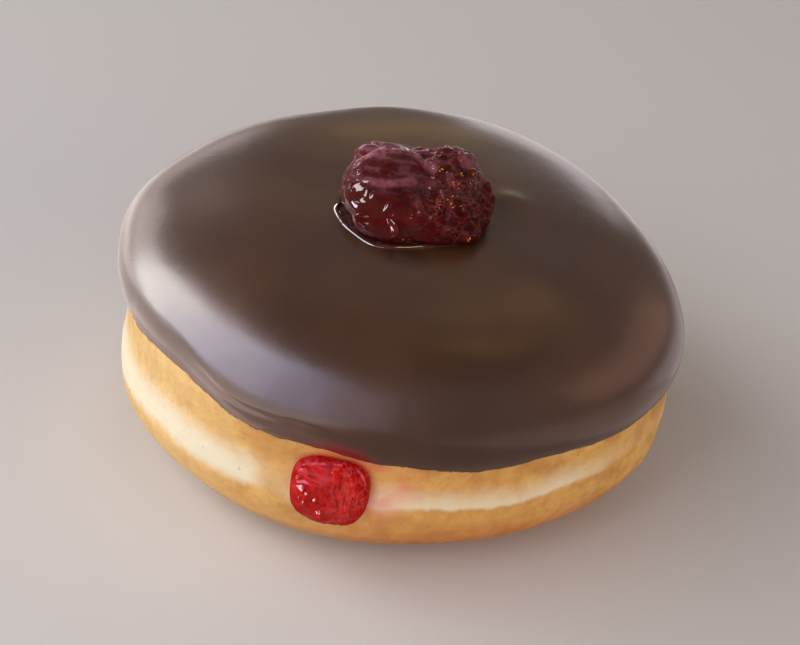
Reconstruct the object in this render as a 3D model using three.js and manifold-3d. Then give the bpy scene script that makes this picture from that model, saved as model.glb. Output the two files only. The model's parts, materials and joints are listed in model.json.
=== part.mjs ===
// A jelly filled doughnut: a fried yeast shell with a pocket of jelly, chocolate icing over
// its top, a spoonful of raspberry jam on the icing and a bead of jelly at the filling hole.
// Millimetres, +Z up, origin under the middle of the foot, filling hole facing -Y.
import * as THREE from "three";
import { mergeVertices } from "three/addons/utils/BufferGeometryUtils.js";
import Module from "manifold-3d";

const wasm = await Module();
wasm.setup();

const { PI, abs, cos, exp, hypot, max, min, sin, sqrt } = Math;
const degrees = PI / 180;

const gap = 0.3; // air between two touching pieces

const shell = {
  height: 42.7, // without icing
  shoulder: { radius: 43.1, level: 27.2, roundness: 2.9 },
  belly: { radius: 42.4, level: 15.0, roundness: 2.6 },
  waistDepth: 0.6, // the pale ring that stays above the oil
  waist: { start: 0.42, end: 0.56 }, // its shares of the section's length
  footSink: 0.5, // how much of the round underside is pressed flat
  rings: 26,
  columns: 72,
};
// Waves that run round the doughnut: height in mm, how many times round, azimuth of a crest.
const outlineWaves = [
  { height: 0.52, times: 2, at: 49 },
  { height: 0.75, times: 3, at: -22.5 },
  { height: 0.8, times: 4, at: -7 },
];
// Waves of the lower half alone, which fade out between two heights.
const bellyWaves = [
  { height: 0.35, times: 2, at: 14 },
  { height: 0.3, times: 4, at: 0 },
];
const bellyFade = { start: 8, end: 22 };
// Single swellings and hollows of the crust: height in mm, azimuth and level of the middle,
// and how far they spread, in degrees and mm.
const bulges = [
  { height: 1.3, at: -5, level: 18.5, spread: 24, tall: 6.5 },
  { height: -0.8, at: -26, level: 9, spread: 18, tall: 5 },
  { height: 0.6, at: -52, level: 6, spread: 16, tall: 4 },
  { height: -1.0, at: -164, level: 17, spread: 15, tall: 7 },
  { height: 0.7, at: -146, level: 10, spread: 13, tall: 5 },
  { height: -0.6, at: -118, level: 7, spread: 17, tall: 5 },
];
// Low swellings of the fried crust, which start above the foot.
const lumps = { height: 0.28, reach: 11, startsOver: 4, seed: 7 };

const icing = {
  thickness: 1.6,
  lip: 3.4, // length over which the lower edge rounds off
  crowding: 1.45, // above 1 the rings stand closer together near the lower edge
  edgeLevel: 24.8, // mean height of the lower edge
  rings: 14,
};
// How the lower edge rises and falls round the doughnut.
const edgeWaves = [
  { height: 0.7, times: 1, at: -145 },
  { height: 0.75, times: 2, at: 39 },
  { height: 0.8, times: 3, at: -9 },
  { height: 0.27, times: 7, at: 22 },
  { height: 0.42, times: 9, at: -8 },
  { height: 0.3, times: 14, at: 5.5 },
];

const jam = {
  centre: { x: 0, y: -1.9 },
  halfWidth: 12.5,
  halfDepth: 10.6,
  turn: -12, // degrees
  squareness: 2.4,
  thickness: 7.4, // between the humps
  humps: [
    { x: -5.2, y: 1.2, height: 1.3, reach: 5.6 },
    { x: 5.9, y: 4.6, height: 3.4, reach: 4.6 },
    { x: 2.6, y: -7.2, height: -1.8, reach: 5.2 },
    { x: 1.4, y: 5.8, height: -1.2, reach: 3.0 },
  ],
  unevenness: { share: 0.06, reach: 0.9, seed: 5 }, // of the outline
  lumps: { height: 0.6, reach: 3.1, seed: 23 },
  crowding: 1.5, // above 1 the rings stand closer together near the outline
  sides: { steepness: 3.4, roundness: 0.42 },
  rings: 12,
  columns: 48,
};

const bead = {
  x: -0.2,
  level: 18.6,
  halfWidth: 5.9,
  halfHeight: 5.9,
  squareness: 2.8,
  standsProud: 3.4,
  rootDepth: 3.0, // how far its back would reach behind the crust before it is trimmed
  flatness: 0.8, // below 1 its front is flatter than an oval
  fullness: 0.7, // below 1 it keeps its width closer to the front
  lumps: { height: 0.35, reach: 1.9, seed: 41 },
  rings: 14,
  columns: 32,
};
const pocket = {
  neckRadius: 4.2,
  halfWidth: 20,
  halfLength: 18,
  halfHeight: 8,
  level: 20,
  bodyTurn: 165, // degrees of the oval that the body takes up before the neck starts
  slope: { start: 10, length: 30 }, // where the neck's axis sinks to the bead's level
  pastCrust: 1.2, // how far the neck reaches out of the hole, into the bead
  bodyRings: 11,
  neckRings: 4,
  columns: 24,
};

// Limits to 0 to 1, plain and with soft ends.
const clamp01 = (x) => min(1, max(0, x));
const smooth = (x) => clamp01(x) ** 2 * (3 - 2 * clamp01(x));

// A repeatable number from 0 to 1 for each corner of a unit grid.
function latticeValue(i, j, k, seed) {
  let n = (i * 374761393 + j * 668265263 + k * 2147483647 + seed * 1274126177) | 0;
  n = Math.imul(n ^ (n >>> 13), 1274126177);
  return ((n ^ (n >>> 16)) >>> 0) / 4294967295;
}

// Smooth noise from -1 to 1 whose swellings are about one `reach` across.
function noise(p, { reach, seed }) {
  const q = [p.x / reach, p.y / reach, p.z / reach];
  const cell = q.map(Math.floor);
  const part = q.map((v, n) => smooth(v - cell[n]));
  let sum = 0;
  for (const corner of [0, 1, 2, 3, 4, 5, 6, 7]) {
    const step = [corner & 1, (corner >> 1) & 1, (corner >> 2) & 1];
    const share = step.reduce((w, s, n) => w * (s ? part[n] : 1 - part[n]), 1);
    sum += share * latticeValue(cell[0] + step[0], cell[1] + step[1], cell[2] + step[2], seed);
  }
  return 2 * sum - 1;
}

// A closed surface from rows of points. The first and the last row shrink to one point each,
// and place(row, column) gives a point. Rows climb while columns run anticlockwise.
function closedSurface(rows, columns, place) {
  const points = [place(0, 0)];
  for (let row = 1; row < rows; row++)
    for (let column = 0; column < columns; column++) points.push(place(row, column));
  points.push(place(rows, 0));
  const last = points.length - 1;
  const at = (row, column) => 1 + (row - 1) * columns + (column % columns);
  const faces = [];
  for (let column = 0; column < columns; column++) {
    faces.push(0, at(1, column + 1), at(1, column));
    for (let row = 1; row < rows - 1; row++) {
      const [a, b] = [at(row, column), at(row, column + 1)];
      const [c, d] = [at(row + 1, column + 1), at(row + 1, column)];
      if ((row + column) % 2) faces.push(a, b, c, a, c, d);
      else faces.push(a, b, d, b, c, d);
    }
    faces.push(at(rows - 1, column), at(rows - 1, column + 1), last);
  }
  const geometry = new THREE.BufferGeometry().setFromPoints(points);
  geometry.setIndex(faces);
  return geometry;
}

function toSolid(geometry) {
  const merged = mergeVertices(geometry, 1e-4);
  return new wasm.Manifold(
    new wasm.Mesh({
      numProp: 3,
      vertProperties: new Float32Array(merged.attributes.position.array),
      triVerts: new Uint32Array(merged.index.array),
    }),
  );
}

function toGeometry(solid) {
  const mesh = solid.getMesh();
  const geometry = new THREE.BufferGeometry();
  geometry.setAttribute("position", new THREE.BufferAttribute(mesh.vertProperties, 3));
  geometry.setIndex(new THREE.BufferAttribute(mesh.triVerts, 1));
  return geometry;
}

// Half of the shell's upright section, from the middle of the foot to the middle of the top:
// a round belly, a waist and a round shoulder, as x = radius and y = height.
class SectionCurve extends THREE.Curve {
  getPoint(t, target = new THREE.Vector2()) {
    const { shoulder, belly, waistDepth, waist, height } = shell;
    if (t <= waist.start) {
      const turn = (1 - t / waist.start) * 90 * degrees;
      return target.set(
        belly.radius * cos(turn) ** (2 / belly.roundness),
        belly.level * (1 - sin(turn) ** (2 / belly.roundness)),
      );
    }
    if (t < waist.end) {
      const s = (t - waist.start) / (waist.end - waist.start);
      return target.set(
        belly.radius + (shoulder.radius - belly.radius) * s - waistDepth * sin(PI * s) ** 2,
        belly.level + (shoulder.level - belly.level) * s,
      );
    }
    const turn = ((t - waist.end) / (1 - waist.end)) * 90 * degrees;
    return target.set(
      shoulder.radius * max(0, cos(turn)) ** (2 / shoulder.roundness),
      shoulder.level + (height - shoulder.level) * sin(turn) ** (2 / shoulder.roundness),
    );
  }
}

const section = new SectionCurve();
section.arcLengthDivisions = 1200;
const sectionSteps = 400;
const sectionPoints = section.getSpacedPoints(sectionSteps);

// Point and outward direction at a share 0 to 1 of the section's length.
function sectionAt(share) {
  const position = clamp01(share) * sectionSteps;
  const low = min(sectionSteps - 1, Math.floor(position));
  const point = sectionPoints[low].clone().lerp(sectionPoints[low + 1], position - low);
  const before = sectionPoints[max(0, low - 2)];
  const after = sectionPoints[min(sectionSteps, low + 3)];
  const length = hypot(after.x - before.x, after.y - before.y);
  const out = new THREE.Vector2((after.y - before.y) / length, (before.x - after.x) / length);
  return { point, out };
}

// The share of the section's length at which it reaches a height.
function shareAtLevel(level) {
  const above = sectionPoints.findIndex((p) => p.y > level);
  const [low, high] = [sectionPoints[above - 1], sectionPoints[above]];
  return (above - 1 + (level - low.y) / (high.y - low.y)) / sectionSteps;
}

// The sum of a list of waves at an azimuth.
const wavesAt = (waves, azimuth) =>
  waves.reduce((sum, w) => sum + w.height * cos(w.times * (azimuth - w.at * degrees)), 0);

// The sum of the single swellings at a place on the crust.
const bulgeAt = (azimuth, level) =>
  bulges.reduce((sum, b) => {
    const turn = Math.atan2(sin(azimuth - b.at * degrees), cos(azimuth - b.at * degrees));
    const away = (turn / (b.spread * degrees)) ** 2 + ((level - b.level) / b.tall) ** 2;
    return sum + b.height * exp(-away);
  }, 0);

// A point of the crust, or of a skin laid `over` it.
function crustPoint(share, azimuth, over = 0) {
  const { point, out } = sectionAt(share);
  const flat = new THREE.Vector3(point.x * cos(azimuth), point.x * sin(azimuth), point.y);
  const rise = over + lumps.height * noise(flat, lumps) * smooth(point.y / lumps.startsOver);
  const atBelly = 1 - smooth((point.y - bellyFade.start) / (bellyFade.end - bellyFade.start));
  const swelling =
    wavesAt(outlineWaves, azimuth) +
    atBelly * wavesAt(bellyWaves, azimuth) +
    bulgeAt(azimuth, point.y - shell.footSink);
  const radius = (point.x + out.x * rise) * (1 + swelling / shell.shoulder.radius);
  const reach = share <= 0 || share >= 1 ? 0 : max(0, radius);
  return new THREE.Vector3(
    reach * cos(azimuth),
    reach * sin(azimuth),
    max(0, point.y + out.y * rise - shell.footSink),
  );
}

function crustSurface(over = 0) {
  return closedSurface(shell.rings, shell.columns, (ring, column) =>
    crustPoint(ring / shell.rings, (column / shell.columns) * 2 * PI, over),
  );
}

// Height of the icing's lower edge.
const edgeLevel = (azimuth) => icing.edgeLevel + wavesAt(edgeWaves, azimuth);

// A skin that lies on the crust from its lower edge to the top, with a rounded lip.
function icingSurface() {
  const { rings, thickness, lip } = icing;
  const fullLength = section.getLength();
  return closedSurface(2 * rings, shell.columns, (row, column) => {
    const azimuth = (column / shell.columns) * 2 * PI;
    const edge = shareAtLevel(edgeLevel(azimuth) + shell.footSink);
    const outside = row > rings;
    const climb = abs(row - rings) / rings; // 0 at the lower edge, 1 at the top
    const share = edge + (1 - edge) * climb ** icing.crowding;
    const fromEdge = clamp01(((share - edge) * fullLength) / lip);
    const skin = outside ? thickness * sqrt(1 - (1 - fromEdge) ** 2) : 0;
    return crustPoint(share, azimuth, gap + skin);
  });
}

// Height of the icing's top at a place near the middle.
function icingTopAt(x, y) {
  const radius = hypot(x, y);
  const azimuth = Math.atan2(y, x);
  let [low, high] = [shareAtLevel(shell.shoulder.level), 1];
  for (let turn = 0; turn < 24; turn++) {
    const middle = (low + high) / 2;
    const p = crustPoint(middle, azimuth, gap + icing.thickness);
    if (hypot(p.x, p.y) > radius) low = middle;
    else high = middle;
  }
  return crustPoint(min(low, 0.9999), azimuth, gap + icing.thickness).z;
}

// Thickness of the jam over a place measured from its own centre.
const jamThickness = (x, y) =>
  jam.humps.reduce(
    (sum, h) => sum + h.height * exp(-((x - h.x) ** 2 + (y - h.y) ** 2) / h.reach ** 2),
    jam.thickness,
  );

// How far the jam's outline lies from its centre.
function jamReach(azimuth) {
  const { halfWidth, halfDepth, squareness, unevenness } = jam;
  const [c, s] = [cos(azimuth - jam.turn * degrees), sin(azimuth - jam.turn * degrees)];
  const oval = abs(c / halfWidth) ** squareness + abs(s / halfDepth) ** squareness;
  const wave = noise({ x: c, y: s, z: 0 }, unevenness);
  return oval ** (-1 / squareness) * (1 + unevenness.share * wave);
}

// The spoonful about its own upright axis: an underside that follows the icing, steep sides
// and a lumpy top.
function jamSurface() {
  const { rings, columns, centre, lumps, sides } = jam;
  return closedSurface(2 * rings, columns, (row, column) => {
    const azimuth = (column / columns) * 2 * PI;
    const fromEdge = abs(row - rings) / rings; // 0 at the outline, 1 in the middle
    const outwards = 1 - fromEdge ** jam.crowding;
    const reach = jamReach(azimuth) * outwards;
    const [x, y] = [reach * cos(azimuth), reach * sin(azimuth)];
    const p = new THREE.Vector3(x, y, icingTopAt(centre.x + x, centre.y + y) + gap);
    if (row <= rings) return p;
    const side = (1 - outwards ** sides.steepness) ** sides.roundness;
    const rise = jamThickness(x, y) * side;
    p.z += rise + lumps.height * noise({ x, y, z: rise }, lumps) * side;
    return p;
  });
}

// One radius from two, close to the larger, with a soft change from one to the other.
const joinRadii = (a, b) => (a ** 4 + b ** 4) ** (1 / 4);

// A flattened pool of jelly with a round neck to the hole, all `grown` by some millimetres.
// It lies along Y: its rows run from the back to the front.
function pocketSurface(grown = 0) {
  const { bodyRings, neckRings, columns, level, slope } = pocket;
  const rows = bodyRings + neckRings + 1;
  const bodyEnd = pocket.bodyTurn * degrees;
  const neckStart = pocket.halfLength * cos(bodyEnd);
  const neckEnd = -(shell.belly.radius + pocket.pastCrust);
  return closedSurface(rows, columns, (row, column) => {
    const around = (column / columns) * 2 * PI;
    const along = (min(row, bodyRings) / bodyRings) * bodyEnd;
    const inNeck = clamp01((row - bodyRings) / neckRings);
    const isPole = row === 0 || row === rows;
    const neck = pocket.neckRadius * smooth(along / bodyEnd);
    const body = sin(along) * (1 - smooth(2 * inNeck));
    const wide = isPole ? 0 : joinRadii(pocket.halfWidth * body, neck) + grown;
    const high = isPole ? 0 : joinRadii(pocket.halfHeight * body, neck) + grown;
    const inBody = (pocket.halfLength + (row < bodyRings ? grown : 0)) * cos(along);
    const y = row > bodyRings ? neckStart + (neckEnd - neckStart) * inNeck : inBody;
    const middle = level + (bead.level - level) * smooth((slope.start - y) / slope.length);
    return new THREE.Vector3(wide * cos(around), y, middle + high * sin(around));
  });
}

// The bead that has squeezed out of the hole, before its back is trimmed to the crust.
function beadSurface() {
  const { rings, columns, squareness, halfWidth, halfHeight, flatness, fullness } = bead;
  const crustY = crustPoint(shareAtLevel(bead.level + shell.footSink), -90 * degrees).y;
  return closedSurface(rings, columns, (row, column) => {
    const around = (column / columns) * 2 * PI;
    const along = (row / rings) * 180 * degrees; // 0 at the back, 180 at the front
    const depth = -cos(along) > 0 ? bead.standsProud : bead.rootDepth;
    const y = crustY + depth * Math.sign(cos(along)) * abs(cos(along)) ** flatness;
    const rim =
      (abs(cos(around) / halfWidth) ** squareness + abs(sin(around) / halfHeight) ** squareness) **
      (-1 / squareness);
    const reach = rim * sin(along) ** fullness;
    const p = new THREE.Vector3(
      bead.x + reach * cos(around),
      y,
      bead.level + reach * sin(around),
    );
    if (along > 90 * degrees) p.y -= bead.lumps.height * noise(p, bead.lumps);
    return p;
  });
}

const finishes = {
  crust: { color: 0xd9a258, roughness: 0.75, metalness: 0 },
  chocolate: { color: 0x3f2a20, roughness: 0.32, metalness: 0 },
  raspberryJam: { color: 0x4a1014, roughness: 0.12, metalness: 0 },
  redJelly: { color: 0xb01316, roughness: 0.12, metalness: 0 },
};

function piece(name, geometry, finish) {
  const faceted = geometry.index ? geometry.toNonIndexed() : geometry;
  faceted.computeVertexNormals();
  const mesh = new THREE.Mesh(faceted, new THREE.MeshStandardMaterial(finishes[finish]));
  mesh.name = name;
  return mesh;
}

const filledPocket = toSolid(pocketSurface());
const emptyPocket = toSolid(pocketSurface(gap));
const dough = toSolid(crustSurface()).subtract(emptyPocket);
const trimmedBead = toSolid(beadSurface()).subtract(toSolid(crustSurface(gap)));
const filling = filledPocket.add(trimmedBead);

const doughnut = new THREE.Group();
doughnut.add(piece("dough", toGeometry(dough), "crust"));
doughnut.add(piece("icing", icingSurface(), "chocolate"));
const spoonful = piece("jam_dollop", jamSurface(), "raspberryJam");
spoonful.position.set(jam.centre.x, jam.centre.y, 0);
doughnut.add(spoonful);
doughnut.add(piece("jelly_filling", toGeometry(filling), "redJelly"));

export default doughnut;
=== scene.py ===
import json
from math import atan2, cos, exp, floor, hypot, pi, radians, sin, tan

import bpy
from mathutils import Euler, Matrix, Vector

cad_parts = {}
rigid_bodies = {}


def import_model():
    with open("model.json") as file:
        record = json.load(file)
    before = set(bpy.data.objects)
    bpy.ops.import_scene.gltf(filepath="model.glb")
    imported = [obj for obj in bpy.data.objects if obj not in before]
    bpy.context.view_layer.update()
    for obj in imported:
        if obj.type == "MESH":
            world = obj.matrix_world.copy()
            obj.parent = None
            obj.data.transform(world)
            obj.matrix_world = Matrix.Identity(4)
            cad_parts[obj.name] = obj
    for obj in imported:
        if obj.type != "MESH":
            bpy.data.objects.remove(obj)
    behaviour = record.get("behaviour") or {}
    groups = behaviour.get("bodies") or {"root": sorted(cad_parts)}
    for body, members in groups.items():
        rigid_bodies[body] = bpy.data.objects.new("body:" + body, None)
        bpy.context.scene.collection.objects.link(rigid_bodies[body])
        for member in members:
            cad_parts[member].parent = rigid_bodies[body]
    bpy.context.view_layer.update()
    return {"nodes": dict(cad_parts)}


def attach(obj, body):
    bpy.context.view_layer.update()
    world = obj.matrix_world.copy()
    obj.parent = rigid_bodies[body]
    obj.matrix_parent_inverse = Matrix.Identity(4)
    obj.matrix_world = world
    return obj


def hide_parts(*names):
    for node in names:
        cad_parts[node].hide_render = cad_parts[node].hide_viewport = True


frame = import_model()
mm = 0.001


# small tools for shaping

def pickOnly(piece):
    bpy.ops.object.select_all(action="DESELECT")
    piece.select_set(True)
    bpy.context.view_layer.objects.active = piece


def copyOfNode(node, name):
    pickOnly(frame["nodes"][node])
    bpy.ops.object.duplicate()
    piece = bpy.context.active_object
    bpy.ops.object.parent_clear(type="CLEAR")
    for label in list(piece.keys()):  # it is a piece of its own now
        del piece[label]
    piece.name = piece.data.name = name
    piece.data.materials.clear()
    bpy.ops.mesh.customdata_custom_splitnormals_clear()
    bpy.ops.object.mode_set(mode="EDIT")
    bpy.ops.mesh.select_all(action="SELECT")
    bpy.ops.mesh.remove_doubles(threshold=0.01 * mm)
    bpy.ops.mesh.tris_convert_to_quads(face_threshold=radians(60), shape_threshold=radians(60))
    bpy.ops.object.mode_set(mode="OBJECT")
    return piece


def applyModifier(piece, kind, **settings):
    pickOnly(piece)
    modifier = piece.modifiers.new(kind.title(), kind)
    for setting, value in settings.items():
        setattr(modifier, setting, value)
    bpy.ops.object.modifier_apply(modifier=modifier.name)


def remesh(piece, grain, rounds):  # one even skin over all that was joined, then smoothed
    applyModifier(piece, "REMESH", mode="VOXEL", voxel_size=grain * mm)
    applyModifier(piece, "SMOOTH", factor=0.6, iterations=rounds)


def soften(piece, rounds, groupName=""):
    applyModifier(piece, "SMOOTH", factor=0.5, iterations=rounds, vertex_group=groupName)


def weigh(piece, groupName, weightAt):
    group = piece.vertex_groups.new(name=groupName)
    for vertex in piece.data.vertices:
        weight = weightAt(vertex.co / mm, vertex.normal)
        if weight > 0:
            group.add([vertex.index], min(1, weight), "REPLACE")


def swell(piece, height, groupName, direction="NORMAL"):
    applyModifier(piece, "DISPLACE", strength=height * mm, mid_level=0,
                  direction=direction, vertex_group=groupName)


def roughen(piece, height, size, groupName, kind="CLOUDS", depth=1, direction="NORMAL"):
    texture = bpy.data.textures.new(f"{piece.name} {size}", kind)
    texture.noise_scale = size * mm
    if kind in ("CLOUDS", "MARBLE"):
        texture.noise_depth = depth
    applyModifier(piece, "DISPLACE", strength=height * mm, mid_level=0.5, texture=texture,
                  texture_coords="LOCAL", direction=direction, vertex_group=groupName)


def addLump(at, size, turn):
    bpy.ops.mesh.primitive_ico_sphere_add(subdivisions=4, radius=1, location=Vector(at) * mm,
                                          rotation=(0, 0, radians(turn)), scale=Vector(size) * mm)
    return bpy.context.active_object


def addFold(points, radius, endRadius=0.3):  # a round string through the points
    curve = bpy.data.curves.new("fold", "CURVE")
    curve.dimensions = "3D"
    curve.bevel_depth = radius * mm
    curve.bevel_resolution = 3
    curve.use_fill_caps = True
    spline = curve.splines.new("NURBS")
    spline.points.add(len(points) - 1)
    spline.order_u = 3
    spline.use_endpoint_u = True
    for index, (knot, point) in enumerate(zip(spline.points, points)):
        knot.co = (*(Vector(point) * mm), 1)
        knot.radius = endRadius if index in (0, len(points) - 1) else 1
    fold = bpy.data.objects.new("fold", curve)
    bpy.context.collection.objects.link(fold)
    pickOnly(fold)
    bpy.ops.object.convert(target="MESH")
    return bpy.context.active_object


def laidOn(piece, points, sink):  # the points, moved to just under a piece's surface
    laid = []
    for point in points:
        _, at, normal, _ = piece.closest_point_on_mesh(Vector(point) * mm)
        laid.append((at - normal * sink * mm) / mm)
    return laid


def addFacet(piece, at, size, turn, facing, lift=0):  # a shallow bump whose middle faces one way
    azimuth, elevation = (radians(angle) for angle in facing)
    normal = Vector((cos(azimuth) * cos(elevation), sin(azimuth) * cos(elevation), sin(elevation)))
    tilt = normal.to_track_quat("Z", "Y").to_matrix() @ Matrix.Rotation(radians(turn), 3, "Z")
    place = laidOn(piece, [at], -lift)[0]
    bpy.ops.mesh.primitive_ico_sphere_add(subdivisions=4, radius=1, location=place * mm,
                                          rotation=tilt.to_euler(), scale=Vector(size) * mm)
    return bpy.context.active_object


def addFolds(piece, folds, radius, sink):
    return [addFold(laidOn(piece, fold, sink), radius) for fold in folds]


def cutAt(piece, at, facing):  # takes off what lies on the side that the plane faces
    pickOnly(piece)
    bpy.ops.object.mode_set(mode="EDIT")
    bpy.ops.mesh.select_all(action="SELECT")
    bpy.ops.mesh.bisect(plane_co=Vector(at) * mm, plane_no=facing, use_fill=True, clear_outer=True)
    bpy.ops.object.mode_set(mode="OBJECT")


def keepMain(piece):  # deletes any speck that a remesh has left inside
    top = max(piece.data.vertices, key=lambda vertex: vertex.co.z).index
    pickOnly(piece)
    bpy.ops.object.mode_set(mode="EDIT")
    bpy.ops.mesh.select_mode(type="VERT")
    bpy.ops.mesh.select_all(action="DESELECT")
    bpy.ops.object.mode_set(mode="OBJECT")
    piece.data.vertices[top].select = True
    bpy.ops.object.mode_set(mode="EDIT")
    bpy.ops.mesh.select_linked()
    bpy.ops.mesh.select_all(action="INVERT")
    bpy.ops.mesh.delete(type="VERT")
    bpy.ops.object.mode_set(mode="OBJECT")


def joinInto(piece, others):
    pickOnly(piece)
    for other in others:
        other.select_set(True)
    bpy.ops.object.join()
    bpy.ops.object.transform_apply(location=True, rotation=True, scale=True)


def paint(piece, name, valueAt):
    layer = piece.data.attributes.new(name, "FLOAT", "POINT")
    values = [valueAt(vertex.co / mm) for vertex in piece.data.vertices]
    layer.data.foreach_set("value", values)


def toPath(point, path):  # shortest distance from a point to a chain of points
    shortest = 1e9
    for first, second in zip(path, path[1:]):
        first, second = Vector(first), Vector(second)
        along = second - first
        share = min(1, max(0, (point - first).dot(along) / along.length_squared))
        shortest = min(shortest, (point - first - along * share).length)
    return shortest


def toSpots(point, spots):  # shortest distance to any of the spots
    return min((point - Vector(spot)).length for spot in spots)


def paintFolds(piece, name, folds, inner, outer):  # 1 on the folds, 0 past the outer distance
    paint(piece, name, lambda point: 1 - ramp(min(toPath(point, fold) for fold in folds), inner, outer))


def smoothShade(piece):
    pickOnly(piece)
    bpy.ops.object.shade_smooth()
    return piece


def ramp(value, low, high):  # 0 below low, 1 above high, smooth between
    share = min(1, max(0, (value - low) / (high - low)))
    return share * share * (3 - 2 * share)


def shade(red, green, blue):  # a colour as a picker shows it, 0 to 255
    return tuple((c / 255 / 12.92 if c < 10.3 else ((c / 255 + 0.055) / 1.055) ** 2.4)
                 for c in (red, green, blue))


# shader maths as plain expressions

class Wire:
    def __init__(self, tree, socket):
        self.tree, self.socket = tree, socket

    def node(self, kind, settings, values=None, output=0):
        made = self.tree.nodes.new(kind)
        for setting, value in settings.items():
            setattr(made, setting, value)
        for name, value in (values or {}).items():
            if isinstance(value, Wire):
                self.tree.links.new(value.socket, made.inputs[name])
            else:
                made.inputs[name].default_value = value
        return Wire(self.tree, made.outputs[output])

    def maths(self, operation, *values):
        return self.node("ShaderNodeMath", {"operation": operation}, dict(enumerate(values)))

    def __add__(self, other):
        return self.maths("ADD", self, other)

    def __sub__(self, other):
        return self.maths("SUBTRACT", self, other)

    def __rsub__(self, other):
        return self.maths("SUBTRACT", other, self)

    def __mul__(self, other):
        return self.maths("MULTIPLY", self, other)

    __radd__ = __add__
    __rmul__ = __mul__

    def above(self, low, high):  # 0 below low, 1 above high
        settings = {"interpolation_type": "SMOOTHSTEP"}
        values = {"Value": self, "From Min": low, "From Max": high}
        return self.node("ShaderNodeMapRange", settings, values)

    def below(self, low, high):  # 1 below low, 0 above high
        return 1 - self.above(low, high)

    def ridge(self):  # distance from the middle value, for thin winding lines
        return self.maths("ABSOLUTE", self - 0.5)

    def bump(self, height, strength, after=None):
        values = {"Height": self, "Distance": height * mm, "Strength": strength}
        if after:
            values["Normal"] = after
        return self.node("ShaderNodeBump", {}, values)


class Finish:
    def __init__(self, name):
        self.material = bpy.data.materials.new(name)
        self.material.use_nodes = True
        self.tree = self.material.node_tree
        self.shader = self.tree.nodes["Principled BSDF"]
        place = self.tree.nodes.new("ShaderNodeTexCoord")
        self.place = Wire(self.tree, place.outputs["Object"])
        self.inMm = self.place.node("ShaderNodeVectorMath", {"operation": "SCALE"},
                                    {0: self.place, "Scale": 1 / mm})
        split = self.tree.nodes.new("ShaderNodeSeparateXYZ")
        self.tree.links.new(self.inMm.socket, split.inputs[0])
        self.x, self.y, self.z = (Wire(self.tree, socket) for socket in split.outputs)

    def noise(self, size, detail, roughness=0.5, stretch=None):
        where = self.inMm
        if stretch:
            where = where.node("ShaderNodeMapping", {}, {"Vector": where, "Scale": stretch})
        values = {"Vector": where, "Scale": 1 / size, "Detail": detail, "Roughness": roughness}
        return where.node("ShaderNodeTexNoise", {}, values)

    def cells(self, size, wobble=0.0):  # distance from the nearest of many scattered points
        where = self.inMm
        if wobble:
            values = {"Vector": where, "Scale": 1.6 / size, "Detail": 1.0}
            shift = where.node("ShaderNodeTexNoise", {}, values, "Color")
            values = {0: shift, 1: (wobble,) * 3, 2: where}
            where = where.node("ShaderNodeVectorMath", {"operation": "MULTIPLY_ADD"}, values)
        return where.node("ShaderNodeTexVoronoi", {}, {"Vector": where, "Scale": 1 / size})

    def near(self, point, stretch):  # distance in mm from a point
        shifted = self.inMm.node("ShaderNodeVectorMath", {"operation": "SUBTRACT"},
                                 {0: self.inMm, 1: point})
        scaled = shifted.node("ShaderNodeVectorMath", {"operation": "MULTIPLY"},
                              {0: shifted, 1: stretch})
        return scaled.node("ShaderNodeVectorMath", {"operation": "LENGTH"}, {0: scaled}, "Value")

    def spot(self, point, stretch, inner, outer):  # 1 round a point, 0 past the outer distance
        return self.near(point, stretch).below(inner, outer)

    def attribute(self, name):
        return self.place.node("ShaderNodeAttribute", {"attribute_name": name}, {}, "Fac")

    def mix(self, share, first, second):  # colours are wires, or 0 to 255 as in a picker
        colors = [c if isinstance(c, Wire) else (*shade(*c), 1) for c in (first, second)]
        return self.place.node("ShaderNodeMix", {"data_type": "RGBA"},
                               {"Factor": share, 6: colors[0], 7: colors[1]}, 2)

    def set(self, **values):
        for name, value in values.items():
            socket = self.shader.inputs[name.replace("_", " ")]
            if isinstance(value, Wire):
                self.tree.links.new(value.socket, socket)
            else:
                socket.default_value = value
        return self

    def wet(self, dry, rippleSize):  # a thin clear coat that mirrors, weaker where it is dry
        ripples = self.noise(rippleSize, 2.0).bump(wetLook["ripple"], wetLook["rippleStrength"])
        return self.set(Normal=ripples, Specular_IOR_Level=0.0, Coat_Weight=1 - dry,
                        Coat_Roughness=wetLook["roughness"], Coat_IOR=wetLook["ior"])

    def on(self, piece, slot):
        piece.data.materials.clear()
        piece.data.materials.append(self.material)


wetLook = {"ripple": 0.02, "rippleStrength": 0.4, "roughness": 0.04, "ior": 1.45}


# fried dough

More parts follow.
